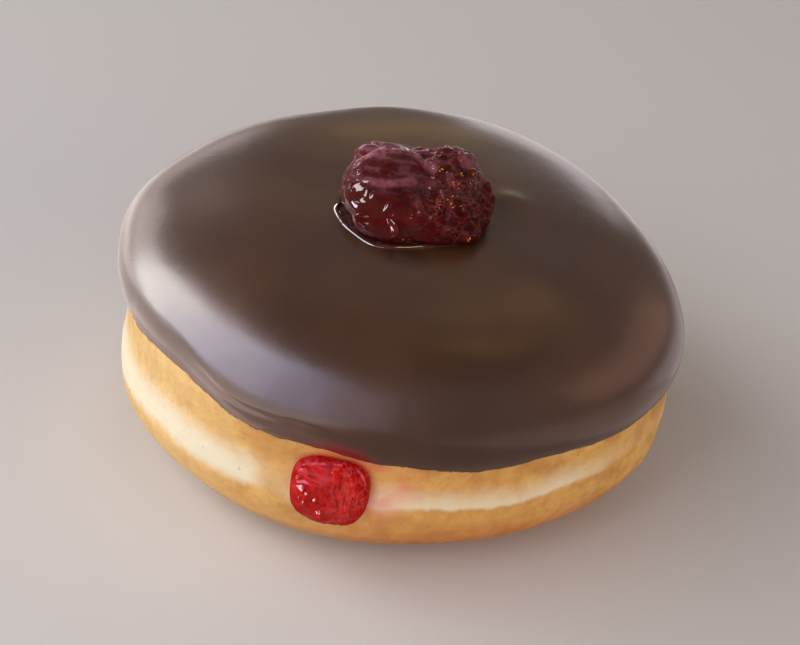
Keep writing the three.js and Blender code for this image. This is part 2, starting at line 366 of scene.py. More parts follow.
doughLook = {
    "grain": 0.6,  # size of the rebuilt mesh
    "swellings": 0.3, "swellingSize": 9,
    "skin": 0.1, "skinSize": 2.2,
    "bandLevel": 16.8, "bandHalf": 1.1,  # the pale band round its waist
    "bandRightRise": 2.7, "bandLeftDrop": 1.6, "bandEndDrop": 2.0, "bandLeftHalf": 1.1,
    "golden": ((226, 180, 102), (210, 156, 76)),
    "brown": ((214, 146, 76), (196, 120, 58)),
    # painted light: the crust paler on the left, where the light falls, less so at its far left end
    "paintedLightLeft": (246, 214, 150), "endGolden": (222, 174, 96), "rightGolden": (200, 136, 62),
    "patch": (178, 112, 48), "speck": (178, 112, 52), "freckle": (150, 92, 44),
    # the first is painted light, the crust paler low on the left; the second painted shade, darker under the
    # icing beside the bead
    "paintedLightLowLeft": (244, 206, 142), "paintedShadeUnderIcing": (194, 130, 58), "pale": (234, 222, 190),
    "wash": (240, 210, 186), "stain": (228, 104, 76), "blush": (208, 52, 42),  # jelly on the crust
    # painted shade: the crust darker just under the icing's edge, beside the bead
    "paintedShadeUnderIcingAt": ((-9.5, -42.5, 23.5), (0.6, 0.3, 1), 1.0, 4.0),  # point, stretch, inner, outer
    "washAt": ((8.4, -43, 17.6), (0.8, 0.3, 1), 1.0, 4.5),
    "stainAt": ((4.5, -43, 21.0), (0.9, 0.4, 0.8), 3, 9.5),
    "blushAt": ((-0.2, -43, 18.7), (0.97, 0.3, 1), 5.7, 7.4),
}


def shownDough(point, normal):  # 1 on the side, 0 under the icing and on the foot
    return ramp(29 - point.z, 0, 4) * ramp(point.z, 0, 1.5) * (hypot(point.x, point.y) > 30)


def makeDough():
    look = doughLook
    piece = copyOfNode("dough", "dough_shell")
    remesh(piece, look["grain"], 14)
    weigh(piece, "shown", shownDough)
    roughen(piece, look["swellings"], look["swellingSize"], "shown")
    roughen(piece, look["skin"], look["skinSize"], "shown", depth=2)
    return smoothShade(piece)


def doughFinish():
    look = doughLook
    f = Finish("fried dough")
    cloud = f.noise(9.0, 3.0)
    mottle = f.noise(2.4, 4.0, 0.6)
    patches = f.noise(5.0, 2.0)
    specks = f.noise(0.9, 3.0, 0.65)
    leftness = f.x.below(-26, 12)

    # the pale band: its level and its half width change round the side
    level = look["bandLevel"] + look["bandRightRise"] * f.x.above(24, 42)
    level = level - look["bandLeftDrop"] * f.x.below(-42, -26) + (cloud - 0.5) * 2.4
    level = level - look["bandEndDrop"] * f.x.below(-43.5, -37)
    half = look["bandHalf"] + look["bandLeftHalf"] * leftness + (patches - 0.5) * 2.2
    uneven = (mottle - 0.5) * 0.9
    over = (f.z - level - half + uneven).above(-2.2, 2.8)
    under = (level - f.z - half + uneven * 1.4).above(-0.5, 0.7 + 1.2 * leftness)
    byBead = f.x.above(-13.5, -9.5) * f.x.below(-7, -5) * f.y.below(-36, -30)
    farRight = f.x.above(30, 43) * f.y.below(-10, 10)
    pale = (1 - over) * (1 - under) * (0.86 + 0.14 * leftness)
    pale = pale * (1 - 0.8 * byBead) * (1 - 0.85 * farRight)

    # the crust over and under it
    golden = f.mix(mottle.above(0.3, 0.75), *look["golden"])
    # painted light: paler crust on the left, where the light falls, less so at its far left end
    golden = f.mix(f.x.below(-30, -10) * 0.45, golden, look["paintedLightLeft"])
    golden = f.mix(f.x.below(-43, -36) * 0.7, golden, look["endGolden"])
    golden = f.mix(f.x.above(4, 18) * f.x.below(20, 38) * 0.35, golden, look["rightGolden"])
    brown = f.mix(mottle.above(0.25, 0.8), *look["brown"])
    crust = f.mix(f.z.below(8, 14.5) * (1 - 0.8 * leftness), golden, brown)
    crust = f.mix(patches.above(0.4, 0.7) * (0.25 + 0.25 * f.x.above(-10, 10)), crust, look["patch"])
    crust = f.mix(specks.above(0.52, 0.75) * 0.35, crust, look["speck"])
    # painted light: the lower crust paler on the left
    crust = f.mix(leftness * f.z.below(8.5, 14) * 0.4, crust, look["paintedLightLowLeft"])
    # painted shade: darker crust just under the icing's edge, beside the bead
    crust = f.mix(f.spot(*look["paintedShadeUnderIcingAt"]) * 0.5, crust, look["paintedShadeUnderIcing"])

    color = f.mix(pale, crust, look["pale"])
    color = f.mix(f.spot(*look["washAt"]) * 0.5, color, look["wash"])
    color = f.mix(f.spot(*look["stainAt"]) * patches.above(0.3, 0.6) * 0.5, color, look["stain"])
    blush = f.spot(*look["blushAt"]) * (0.12 + 0.4 * f.x.above(0, 5) + 0.6 * f.z.above(20.5, 24.5))
    color = f.mix(blush * 0.75, color, look["blush"])
    color = f.mix(f.cells(2.6).below(0.04, 0.14) * cloud.above(0.4, 0.7) * 0.6, color, look["freckle"])

    pores = f.noise(1.4, 2.0).bump(0.14, 0.6, after=f.noise(0.55, 3.0, 0.6).bump(0.06, 0.7))
    return f.set(Base_Color=color, Roughness=0.5 + 0.2 * mottle, Normal=pores,
                 Subsurface_Weight=0.15, Subsurface_Radius=(1.0, 0.5, 0.2), Subsurface_Scale=0.0014)


# chocolate icing

icingLook = {
    "swellings": 0.3, "swellingSize": 18,
    "ripples": 0.04, "rippleSize": 7,
    "edge": 0.4, "edgeSize": 5, "fineEdge": 0.3, "fineEdgeSize": 2.2, "edgeReach": 4.5,
    "drop": 0.45,  # what rounding off took from the lower edge
    "fineBelow": 6.5,  # the mesh is finer up to this height over the lower edge
    "edgeThickness": 0.35, "hemHeight": 3.2,  # it thins out towards its lower edge
    "foldAbove": 4.4, "foldDepth": 0.36,  # a soft fold over the lower edge, left of the bead
    "lip": 0.14, "lipAbove": 3.2, "lipWidth": 0.6,
    "wrinkle": 0.45, "wrinkleAt": (13.8, 7.6), "wrinkleSize": (2.4, 2.2),
    "chocolate": ((60, 34, 19), (70, 42, 24)), "skirt": (76, 44, 32), "border": (112, 62, 36),
    # the last two colours are painted shade, the first is partly a painted red glow
    "stain": (146, 36, 46), "paintedShade": (46, 26, 15), "foot": (40, 11, 8),
    # the red above the bead: part jelly stain, part painted red glow of the bead
    "stainAt": ((0.6, -44.5, 23.4), (0.75, 0.5, 1), 2.0, 5.6),  # point, stretch, inner, outer
    # painted shade: a broad darker patch on the front slope
    "paintedShadeAt": ((17.0, -36.5, 34.5), (0.7, 0.8, 0.9), 2.0, 11.0),
    "footAt": ((2.0, -16.2, 44.2), (0.6, 1, 1), 1.2, 3.4),  # painted dark red shade just before the foot of the jam
}


def azimuthOf(point):
    return atan2(point.y, point.x) * 180 / pi


def outward(point, normal):  # 1 on the outer face, 0 on the face against the dough
    away = (normal.x * point.x + normal.y * point.y) / max(1, hypot(point.x, point.y))
    return ramp(away + normal.z, 0.0, 0.4)


def alongEdge(point, start, end):  # 1 between two azimuths, fading out at both
    azimuth = azimuthOf(point)
    return ramp(azimuth, start - 8, start + 4) * (1 - ramp(azimuth, end - 4, end + 8))


def underFold(point, above):  # 1 below the fold, which is soft on the left and sharp near the bead
    softness = 0.6 + 2.2 * (1 - ramp(azimuthOf(point), -134, -116))
    fold = icingLook["foldAbove"]
    return alongEdge(point, -146, -96) * (1 - ramp(above, fold - softness, fold + softness))


def aboveEdgeOf(piece, steps=144):  # gives a point's height over the lower edge below it
    lowest = [100] * steps
    for vertex in piece.data.vertices:
        step = floor(atan2(vertex.co.y, vertex.co.x) / (2 * pi) % 1 * steps) % steps
        lowest[step] = min(lowest[step], vertex.co.z / mm)

    def above(point):
        place = atan2(point.y, point.x) / (2 * pi) % 1 * steps - 0.5
        step, share = floor(place), place % 1
        return point.z - lowest[step % steps] * (1 - share) - lowest[(step + 1) % steps] * share

    return above


def splitFaces(piece, chosen):  # makes the mesh finer where a face's middle is chosen
    bpy.ops.object.mode_set(mode="EDIT")
    bpy.ops.mesh.select_all(action="DESELECT")
    bpy.ops.object.mode_set(mode="OBJECT")
    for face in piece.data.polygons:
        face.select = chosen(face.center / mm)
    bpy.ops.object.mode_set(mode="EDIT")
    bpy.ops.mesh.subdivide(number_cuts=1, smoothness=0)
    bpy.ops.object.mode_set(mode="OBJECT")


def makeIcing():
    look = icingLook
    piece = copyOfNode("icing", "chocolate_icing")
    applyModifier(piece, "SUBSURF", levels=2, render_levels=2)
    above = aboveEdgeOf(piece)
    splitFaces(piece, lambda middle: above(middle) < look["fineBelow"])
    weigh(piece, "edge", lambda point, normal: 1 - ramp(above(point), 0, look["edgeReach"]))
    swell(piece, -look["drop"], "edge", direction="Z")
    roughen(piece, look["edge"], look["edgeSize"], "edge", direction="Z")
    roughen(piece, look["fineEdge"], look["fineEdgeSize"], "edge", direction="Z")
    weigh(piece, "outside", outward)
    soften(piece, 10, "outside")
    roughen(piece, look["swellings"], look["swellingSize"], "outside")
    roughen(piece, look["ripples"], look["rippleSize"], "outside")
    soften(piece, 8, "outside")
    layOnDough(piece, aboveEdgeOf(piece))
    return smoothShade(piece)


def layOnDough(piece, above):  # closes it onto the dough, with the fold, the lip and the wrinkle
    look = icingLook
    dough = bpy.data.objects["dough_shell"]

    def inside(point, normal):
        return (1 - outward(point, normal)) * (1 - ramp(above(point), 12, 16))

    def hem(point, normal):
        return outward(point, normal) * exp(-max(0, above(point)) / look["hemHeight"])

    def skirt(point, normal):
        return outward(point, normal) * ramp(above(point), 0, 2) * underFold(point, above(point))

    def lip(point, normal):
        height = (above(point) - look["lipAbove"]) / look["lipWidth"]
        return outward(point, normal) * alongEdge(point, -112, -106) * exp(-height ** 2)

    def wrinkle(point, normal):
        (x, y), (wide, deep) = look["wrinkleAt"], look["wrinkleSize"]
        return outward(point, normal) * exp(-((point.x - x) / wide) ** 2 - ((point.y - y) / deep) ** 2)

    weigh(piece, "inside", inside)
    weigh(piece, "hem", hem)
    applyModifier(piece, "SHRINKWRAP", target=dough, wrap_mode="ON_SURFACE", vertex_group="inside")
    applyModifier(piece, "SHRINKWRAP", target=dough, wrap_mode="ABOVE_SURFACE",
                  offset=look["edgeThickness"] * mm, vertex_group="hem")
    weigh(piece, "skirt", skirt)
    swell(piece, -look["foldDepth"], "skirt")
    weigh(piece, "lip", lip)
    swell(piece, look["lip"], "lip")
    weigh(piece, "wrinkle", wrinkle)
    swell(piece, look["wrinkle"], "wrinkle")
    paint(piece, "above", above)
    paint(piece, "underFold", lambda point: underFold(point, above(point)))


def icingFinish():
    look = icingLook
    f = Finish("chocolate icing")
    broad = f.noise(14.0, 2.0)
    soft = f.noise(2.6, 2.0)
    color = f.mix(broad.above(0.3, 0.7), *look["chocolate"])
    color = f.mix(f.attribute("underFold") * 0.5, color, look["skirt"])
    border = (f.attribute("above") + (soft - 0.5) * 1.2).below(0.1, 1.1)
    color = f.mix(border * 0.7, color, look["border"])
    # red above the bead: part jelly stain, part painted red glow of the bead
    color = f.mix(f.spot(*look["stainAt"]) * 0.7, color, look["stain"])
    # painted shade: the front slope darker
    color = f.mix(f.spot(*look["paintedShadeAt"]) * 0.55, color, look["paintedShade"])
    # painted shade: dark red before the foot of the jam
    color = f.mix(f.spot(*look["footAt"]) * 0.7, color, look["foot"])
    waves = f.noise(5.0, 2.0).bump(0.08, 0.5, after=f.noise(0.8, 2.0).bump(0.012, 0.6))
    return f.set(Base_Color=color, Roughness=0.25 + 0.06 * broad, Normal=waves, Specular_IOR_Level=1.0)


# jam on top

jamLook = {
    "shrink": 0.35,  # room for the lumps
    "rough": 0.25, "grain": 0.13,  # sizes of the rebuilt meshes
    "lumps": (  # at, size, turn
        ((-3.4, -6.4, 46.4), (7.2, 6.0, 4.2), -10),
        ((4.6, 1.4, 51.6), (3.2, 2.7, 2.1), 0),
        ((7.0, -6.2, 47.6), (4.4, 4.0, 3.0), 20),
        ((-7.4, 0.2, 49.6), (3.2, 3.4, 2.2), 30),
        ((10.3, -1.2, 47.0), (2.0, 3.2, 2.4), 0),
        ((9.3, -8.2, 45.6), (2.4, 2.0, 1.8), 0),
        ((0.4, 1.6, 50.6), (3.4, 2.4, 1.8), 0),
        ((-2.2, -9.7, 45.1), (5.7, 4.7, 2.6), 8),
    ),
    "rims": (  # thick folds along its upper edges
        ((-10.1, -4.2, 49.6), (-9.2, -2.8, 51.0), (-7.2, -1.9, 52.2), (-5.6, -1.1, 52.7),
         (-3.5, -0.9, 52.9), (-1.6, 0.2, 52.4), (0.4, -1.4, 52.3), (2.0, -2.7, 52.0)),
        ((-9.2, 1.2, 49.4), (-8.2, 2.0, 50.3), (-6.4, 1.4, 51.5), (-4.6, 1.3, 51.8), (-3.0, 1.0, 51.8)),
        ((0.3, 2.6, 51.6), (2.0, 3.2, 52.4), (3.6, 2.9, 53.1), (5.2, 1.9, 53.3), (6.0, 0.6, 53.3),
         (7.0, -0.6, 52.8)),
        ((5.8, 3.2, 52.6), (7.2, 3.2, 52.4), (8.4, 2.0, 51.9), (9.2, 0.4, 51.2)),
    ),
    "shelf": ((-10.4, -4.8, 48.8), (-9.6, -6.0, 49.4), (-8.0, -7.3, 50.0), (-5.6, -7.9, 50.6),
              (-3.4, -7.9, 51.0), (-1.7, -7.2, 51.2), (-0.2, -6.0, 51.3)),
    "rimRadius": 0.7, "rimSink": 0.3, "shelfRadius": 0.5, "shelfSink": 0.22,
    "swirls": (  # thin folds down the front and round the right
        ((2.0, -6.0, 51.2), (3.4, -8.4, 50.4), (4.2, -10.2, 49.2), (4.0, -11.8, 47.4), (3.0, -12.7, 45.9)),
        ((3.4, -5.0, 51.4), (5.6, -7.3, 50.6), (6.8, -9.6, 49.1), (6.6, -11.2, 47.2), (5.6, -12.2, 45.5)),
        ((4.8, -3.6, 51.8), (7.4, -5.8, 50.4), (8.8, -8.2, 48.8), (8.9, -9.8, 47.0)),
        ((0.9, -8.8, 50.2), (2.2, -10.2, 49.2), (2.6, -11.6, 48.0), (2.0, -12.7, 46.7)),
        ((9.2, -10.3, 46.4), (10.6, -8.5, 46.5), (11.9, -5.2, 46.3)),
        ((9.5, -8.2, 49.0), (11.0, -6.9, 47.5), (12.1, -2.2, 45.9)),
        ((8.4, -3.6, 50.6), (10.2, -3.6, 49.0), (11.6, -0.6, 47.6)),
    ),
    "swirlRadius": 0.45, "swirlSink": 0.32,
    "gleams": (  # at, size, turn, facing: small facets of the smooth lobe that catch the light
        ((-7.8, -8.6, 49.2), (1.7, 1.25, 0.2), 0, (239, 41)),
        ((-6.4, -9.6, 49.4), (0.6, 1.0, 0.16), 20, (239, 41)),
        ((-5.3, -10.2, 49.4), (0.6, 0.9, 0.16), 10, (239, 41)),
        ((-2.8, -11.6, 48.7), (0.5, 1.2, 0.18), 0, (239, 41)),
        ((0.7, -10.7, 48.6), (0.5, 1.0, 0.18), 0, (239, 41)),
        ((-1.2, -13.5, 46.8), (1.8, 1.1, 0.24), -20, (234, 22)),
        ((-8.7, -5.7, 50.1), (0.5, 0.5, 0.14), 0, (239, 41)),
        ((-9.8, -5.7, 48.9), (0.5, 0.5, 0.14), 0, (239, 41)),
    ),
    "crease": ((-9.0, -9.2, 48.3), (-8.2, -10.1, 48.0), (-6.9, -11.0, 48.0), (-5.2, -11.7, 47.6)),
    "creaseRadius": 0.3, "creaseSink": 0.1,
    "clearOfIcing": (44.5, 45.6),  # the heights between which it comes free of the icing
    "textures": (  # height, size, where, kind
        (0.8, 2.6, "free", "CLOUDS"),
        (0.45, 1.2, "pulpy", "CLOUDS"),
        (0.35, 1.5, "pulpy", "MARBLE"),
        (0.12, 0.7, "pulpy", "VORONOI"),
    ),
    "rippleSize": 0.5,
    # the last two of these colours are painted light: a glow through the jam and a pale reflected sheen
    "pulp": ((40, 5, 7), (76, 15, 12)), "clot": (24, 3, 5), "glow": (78, 4, 6), "paintedSheen": (140, 82, 96),
    "vein": (118, 62, 54), "under": (40, 4, 6), "deep": (60, 5, 7), "side": (44, 10, 8),
    # painted highlights: golden glints
    "gold": (214, 132, 50),
    # painted glow: the red of light coming through the front lobe
    "glowAt": ((0.5, -11.0, 46.2), (0.7, 1, 1), 1.5, 5.5),  # point, stretch, inner, outer
    # painted sheen along its back, on the left and on the right
    "backLeftAt": ((-7.8, -0.2, 51.4), (0.8, 1, 1), 1.5, 4.5),
    "backRightAt": ((8.4, 2.0, 51.6), (1, 1, 1), 1.0, 3.6),
    "deepAt": ((3.0, -12.6, 46.4), (1, 1, 1), 1.5, 4.0),
    "humpAt": ((6.6, -2.2, 52.0), (1, 1, 1), 1.2, 3.6),
    "sideAt": ((6.4, -6.6, 50.0), (1, 1, 1), 0.8, 3.0),
    "dryAt": ((-6.0, -12.5, 46.2), (1, 1, 1), 0.8, 2.0),
}


def makeJam():
    look = jamLook
    piece = copyOfNode("jam_dollop", "jam_spoonful")
    applyModifier(piece, "SUBSURF", levels=1, render_levels=1)
    weigh(piece, "all", lambda point, normal: 1)
    swell(piece, -look["shrink"], "all")
    joinInto(piece, [addLump(*lump) for lump in look["lumps"]])
    remesh(piece, look["rough"], 8)
    extra = addFolds(piece, look["rims"], look["rimRadius"], look["rimSink"])
    extra += addFolds(piece, look["swirls"], look["swirlRadius"], look["swirlSink"])
    extra += addFolds(piece, [look["shelf"]], look["shelfRadius"], look["shelfSink"])
    extra += addFolds(piece, [look["crease"]], look["creaseRadius"], look["creaseSink"])
    extra += [addFacet(piece, *gleam) for gleam in look["gleams"]]
    joinInto(piece, extra)
    remesh(piece, look["grain"], 4)
    spots = [gleam[0] for gleam in look["gleams"]] + list(look["crease"])

    def pulpy(point, normal):  # 0 where it lies on the icing, little on the smooth lobe
        clear = ramp(point.z, *look["clearOfIcing"])
        return clear * (0.1 + 0.9 * ramp(point.x + 0.25 * point.y, -2.5, 2.5))

    def free(point, normal):  # all but the facets, which stay smooth
        lumpy = 0.45 * ramp(point.z, *look["clearOfIcing"]) + 0.55 * pulpy(point, normal)
        return lumpy * ramp(toSpots(point, spots), 0.9, 1.8)

    weigh(piece, "free", free)
    weigh(piece, "pulpy", pulpy)
    for texture in look["textures"]:
        roughen(piece, *texture)
    soften(piece, 2)
    paintFolds(piece, "fold", look["rims"] + look["swirls"] + (look["shelf"],), 0.4, 1.2)
    return smoothShade(piece)


def jamFinish():
    look = jamLook
    f = Finish("raspberry jam")
    pulp = f.noise(1.1, 3.0, 0.6)
    clots = f.noise(2.2, 2.0)
    streaks = f.noise(1.7, 3.0, 0.6, (0.5, 0.8, 2.4))
    grainy = 0.4 + 0.6 * f.x.above(-4, 2)
    color = f.mix(pulp.above(0.36, 0.66) * grainy + 0.5 * (1 - grainy), *look["pulp"])
    color = f.mix(clots.above(0.5, 0.72) * (0.15 + 0.4 * f.x.above(-1, 4)), color, look["clot"])
    # painted glow: the front lobe redder, as if lit through
    color = f.mix(f.spot(*look["glowAt"]) * 0.6, color, look["glow"])

    # painted sheen: a pale reflection on its folds and along its back
    high = f.z.above(49.0, 51.6)
    deep = f.spot(*look["deepAt"])
    paintedSheen = f.attribute("fold") * (0.2 + 0.3 * high) * (0.3 + 0.7 * pulp.above(0.3, 0.6))
    paintedSheen = paintedSheen * (1 - 0.7 * f.x.above(3, 5) * f.z.below(51.6, 52.4)) * (1 - 0.9 * deep)
    paintedSheen = paintedSheen + streaks.above(0.46, 0.66) * high * f.x.below(0, 7) * 0.26
    back = f.spot(*look["backLeftAt"]) + f.spot(*look["backRightAt"])
    color = f.mix(paintedSheen + back * streaks.above(0.4, 0.6) * 0.4, color, look["paintedSheen"])

    veins = f.noise(1.7, 2.0).ridge().below(0.008, 0.05) * f.x.above(-1, 4)
    color = f.mix(veins * 0.32, color, look["vein"])
    color = f.mix(f.z.below(44.5, 47.5) * 0.4, color, look["under"])
    color = f.mix(deep * 0.6, color, look["deep"])
    hump, side = f.spot(*look["humpAt"]), f.spot(*look["sideAt"])
    color = f.mix(side * 0.45, color, look["side"])
    # painted highlights: small golden glints, clustered on the hump and the right side
    where = (hump + side + clots.above(0.62, 0.66) * 0.8) * pulp.above(0.46, 0.52)
    color = f.mix(f.cells(0.62, 0.8).below(0.12, 0.3) * where, color, look["gold"])

    dry = f.x.above(1.5, 4.5) * f.z.below(49.5, 51) + 1.2 * f.spot(*look["dryAt"])
    f.wet(0.7 * dry, look["rippleSize"])
    return f.set(Base_Color=color, Roughness=0.4 + 0.2 * pulp, Subsurface_Weight=0.1,
                 Subsurface_Radius=(1.0, 0.1, 0.08), Subsurface_Scale=0.0012)


syrupLook = {
    "puddles": (  # at, size, turn
        ((-2.2, -6.9, 44.0), (8.7, 7.4, 0.5), 0),
        ((4.6, -6.8, 44.0), (6.0, 4.4, 0.5), 12),
    ),
    "brim": ((-10.4, -4.6, 44), (-11.0, -6.4, 44), (-10.9, -7.8, 44), (-9.8, -9.7, 44),
             (-8.5, -11.5, 44), (-6.4, -13.2, 44), (-4.8, -14.3, 44), (-3.0, -15.0, 44),
             (-1.1, -14.7, 44), (0.6, -14.0, 44), (2.4, -13.1, 44), (5.7, -11.0, 44),
             (8.2, -9.6, 44), (9.6, -8.6, 44)),  # its rounded edge
    "brimRadius": 0.5, "brimSink": 0.12,
    "grain": 0.1,
    "waves": 0.12, "waveSize": 3.0, "clearOfIcing": (43.8, 44.1),
    "rippleSize": 1.2,
    "syrup": ((48, 20, 18), (70, 40, 34)),
}


def makeSyrup():  # the clear syrup that has run out from under the jam
    look = syrupLook
    puddles = [addLump(*puddle) for puddle in look["puddles"]]
    piece = puddles[0]
    piece.name = piece.data.name = "jam_syrup"
    icing = bpy.data.objects["chocolate_icing"]
    joinInto(piece, puddles[1:] + addFolds(icing, [look["brim"]], look["brimRadius"], look["brimSink"]))
    remesh(piece, look["grain"], 6)
    weigh(piece, "free", lambda point, normal: ramp(point.z, *look["clearOfIcing"]))
    roughen(piece, look["waves"], look["waveSize"], "free")
    return smoothShade(piece)


def syrupFinish():
    look = syrupLook
    f = Finish("jam syrup")
    cloud = f.noise(1.8, 2.0)
    color = f.mix(cloud.above(0.35, 0.65), *look["syrup"])
    f.wet(0, look["rippleSize"])
    return f.set(Base_Color=color, Roughness=0.3 + 0.1 * cloud)


# jelly filling

beadLook = {
    "fillingEnds": -41.7, "beadStarts": -41,  # along y: the two pieces overlap in the neck
    "puff": 0.1, "puffFrom": (41.6, 42.6),  # it starts between these distances from the axis
    "rough": 0.25, "grain": 0.12,  # sizes of the rebuilt meshes
    "lumps": (0.45, 2.2), "pulp": (0.42, 0.9), "seeds": (0.16, 0.6),  # height, size
    "rims": (  # thick folds along its upper edge
        ((-5.4, -43.6, 20.6), (-5.2, -43.8, 21.6), (-4.4, -44.2, 22.6), (-2.8, -44.4, 23.4),
         (-0.6, -44.3, 24.0), (1.0, -44.0, 24.1)),
        ((1.0, -43.6, 24.4), (2.2, -43.9, 24.4), (2.9, -44.3, 23.6), (2.2, -44.8, 22.6), (1.4, -44.8, 23.2)),
        ((3.0, -43.6, 24.2), (4.2, -43.7, 23.2), (4.9, -43.9, 21.6)),
    ),
    "rimRadius": 0.34, "rimSink": 0.2,
    "shelf": ((-4.8, -45.0, 20.0), (-3.8, -45.3, 20.5), (-2.6, -45.4, 20.5), (-1.4, -45.5, 20.9),
              (0.0, -45.4, 20.9)),
    "swirls": (
        ((0.4, -45.6, 20.2), (1.2, -45.6, 18.6), (1.0, -45.6, 17.0), (0.2, -45.5, 15.8)),
        ((1.4, -45.5, 20.6), (2.3, -45.5, 18.8), (2.1, -45.5, 16.8), (1.2, -45.4, 15.2)),
        ((2.6, -45.3, 20.8), (3.4, -45.2, 18.8), (3.1, -45.2, 16.6), (2.2, -45.0, 14.8)),
    ),
    "swirlRadius": 0.34, "swirlSink": 0.24,
    "gleams": (  # at, size, turn, facing and, where it stands higher, lift
        ((-4.3, -45.5, 19.4), (1.1, 0.8, 0.14), 0, (231, 28)),
        ((-3.2, -45.8, 18.9), (0.75, 0.7, 0.16), 10, (231, 28), 0.04),
        ((-4.9, -45.3, 18.5), (0.9, 0.5, 0.16), -35, (231, 28), 0.1),
        ((-4.2, -45.5, 18.05), (0.9, 0.5, 0.16), -35, (231, 28), 0.1),
        ((-3.5, -45.7, 17.6), (0.9, 0.5, 0.16), -35, (231, 28), 0.1),
        ((-1.7, -45.8, 18.1), (0.5, 1.0, 0.2), 0, (231, 28)),
        ((-1.1, -45.9, 16.0), (1.3, 0.8, 0.2), -20, (231, 28)),
        ((-4.8, -45.0, 20.7), (0.5, 0.5, 0.16), 0, (236, 45)),
    ),
    # the last of these colours is a painted pale sheen
    "jelly": ((148, 5, 6), (194, 22, 18)), "rim": (146, 4, 14), "paintedSheen": (222, 112, 128),
    "swirl": (204, 70, 66), "vein": (214, 86, 80), "under": (150, 3, 5), "fruit": (226, 84, 40),
    "rippleSize": 0.5,
    "middle": ((-0.2, -43.5, 18.6), (1, 0.3, 1)),  # point, stretch
    "upperAt": ((-3.2, -45.0, 22.2), (0.55, 0.5, 1), 1.2, 2.6),  # point, stretch, inner, outer: where painted sheen streaks its upper left
}


def makeFilling():  # the jelly inside, up to the hole
    piece = copyOfNode("jelly_filling", "jelly_inside")
    cutAt(piece, (0, beadLook["fillingEnds"], 0), (0, -1, 0))
    return smoothShade(piece)


def makeBead():
    look = beadLook
    piece = copyOfNode("jelly_filling", "jelly_bead")
    cutAt(piece, (0, look["beadStarts"], 0), (0, 1, 0))
    weigh(piece, "all", lambda point, normal: ramp(-point.y, *look["puffFrom"]))
    swell(piece, look["puff"], "all")
    remesh(piece, look["rough"], 4)
    extra = addFolds(piece, look["rims"], look["rimRadius"], look["rimSink"])
    extra += addFolds(piece, look["swirls"], look["swirlRadius"], look["swirlSink"])
    extra += addFolds(piece, [look["shelf"]], look["rimRadius"], look["rimSink"])
    extra += [addFacet(piece, *gleam) for gleam in look["gleams"]]
    joinInto(piece, extra)
    remesh(piece, look["grain"], 3)
    keepMain(piece)
    spots = [gleam[0] for gleam in look["gleams"]]

    def lumpy(point, normal):  # its front, all but the facets, which stay smooth
        front = ramp(-point.y, 42.6, 44.0) * ramp(-normal.y, 0.1, 0.7)
        return front * ramp(toSpots(point, spots), 0.6, 1.3)

    def pulpy(point, normal):  # its front, little on the left
        front = ramp(-point.y, 43.2, 44.4) * ramp(-normal.y, 0.3, 0.8)
        return front * (0.1 + 0.9 * ramp(point.x, -2.5, 1.5))

    weigh(piece, "bead", lumpy)
    roughen(piece, *look["lumps"], "bead")
    weigh(piece, "pulpy", pulpy)
    roughen(piece, *look["pulp"], "pulpy")
    roughen(piece, *look["seeds"], "pulpy", "VORONOI")
    soften(piece, 2)
    paintFolds(piece, "fold", look["rims"] + (look["shelf"],), 0.08, 0.34)
    paintFolds(piece, "swirl", look["swirls"], 0.1, 0.5)
    return smoothShade(piece)


def jellyFinish():
    look = beadLook
    f = Finish("red jelly")
    pulp = f.noise(1.4, 3.0, 0.6)
    streaks = f.noise(1.5, 3.0, 0.6, (0.5, 0.8, 2.4))
    fromMiddle = f.near(*look["middle"])
    color = f.mix(pulp.above(0.32, 0.68), *look["jelly"])
    color = f.mix(fromMiddle.above(4.6, 6.2) * 0.5, color, look["rim"])
    # painted sheen: pale reflections on its folds and streaks over its upper left
    paintedSheen = f.attribute("fold") * pulp.above(0.3, 0.6) * 0.9
    paintedSheen = paintedSheen + streaks.above(0.4, 0.66) * f.spot(*look["upperAt"]) * 0.2
    color = f.mix(paintedSheen, color, look["paintedSheen"])
    color = f.mix(f.attribute("swirl") * 0.3, color, look["swirl"])
    veins = f.noise(1.3, 2.0, 0.5, (1.2, 1, 0.5)).ridge().below(0.008, 0.07)
    color = f.mix(veins * (0.06 + 0.26 * f.x.above(-2, 3)), color, look["vein"])
    color = f.mix(f.z.below(14.5, 17.5) * 0.45, color, look["under"])
    fruit = f.cells(0.7, 0.6).below(0.1, 0.24) * pulp.above(0.48, 0.56) * f.x.above(-2.5, 1.5)
    color = f.mix(fruit * 0.6, color, look["fruit"])
    f.wet(0.85 * fromMiddle.above(4.9, 5.7), look["rippleSize"])
    return f.set(Base_Color=color, Roughness=0.3 + 0.1 * pulp, Subsurface_Weight=0.25,
                 Subsurface_Radius=(1.0, 0.12, 0.1), Subsurface_Scale=0.0016)


# putting the pieces in place

def addPiece(piece, finish, node, slot):
    finish.on(piece, slot)
    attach(piece, "root")
    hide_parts(node)
    print(piece.name, len(piece.data.polygons), "faces")


addPiece(makeDough(), doughFinish(), "dough", "fried_dough")
addPiece(makeIcing(), icingFinish(), "icing", "chocolate_icing")
addPiece(makeJam(), jamFinish(), "jam_dollop", "raspberry_jam")
addPiece(makeSyrup(), syrupFinish(), "jam_dollop", "raspberry_jam")
filling, bead = makeFilling(), makeBead()
jelly = jellyFinish()
addPiece(filling, jelly, "jelly_filling", "red_jelly")
addPiece(bead, jelly, "jelly_filling", "red_jelly")


# studio: angles in degrees, places and sizes in metres

everyPiece = ()
icingOnly = ("chocolate_icing",)
icingAndDough = ("chocolate_icing", "dough_shell")
jamOnly = ("jam_spoonful",)
beadOnly = ("jelly_bead",)
jamAndBead = ("jam_spoonful", "jelly_bead")
syrupOnly = ("jam_syrup",)

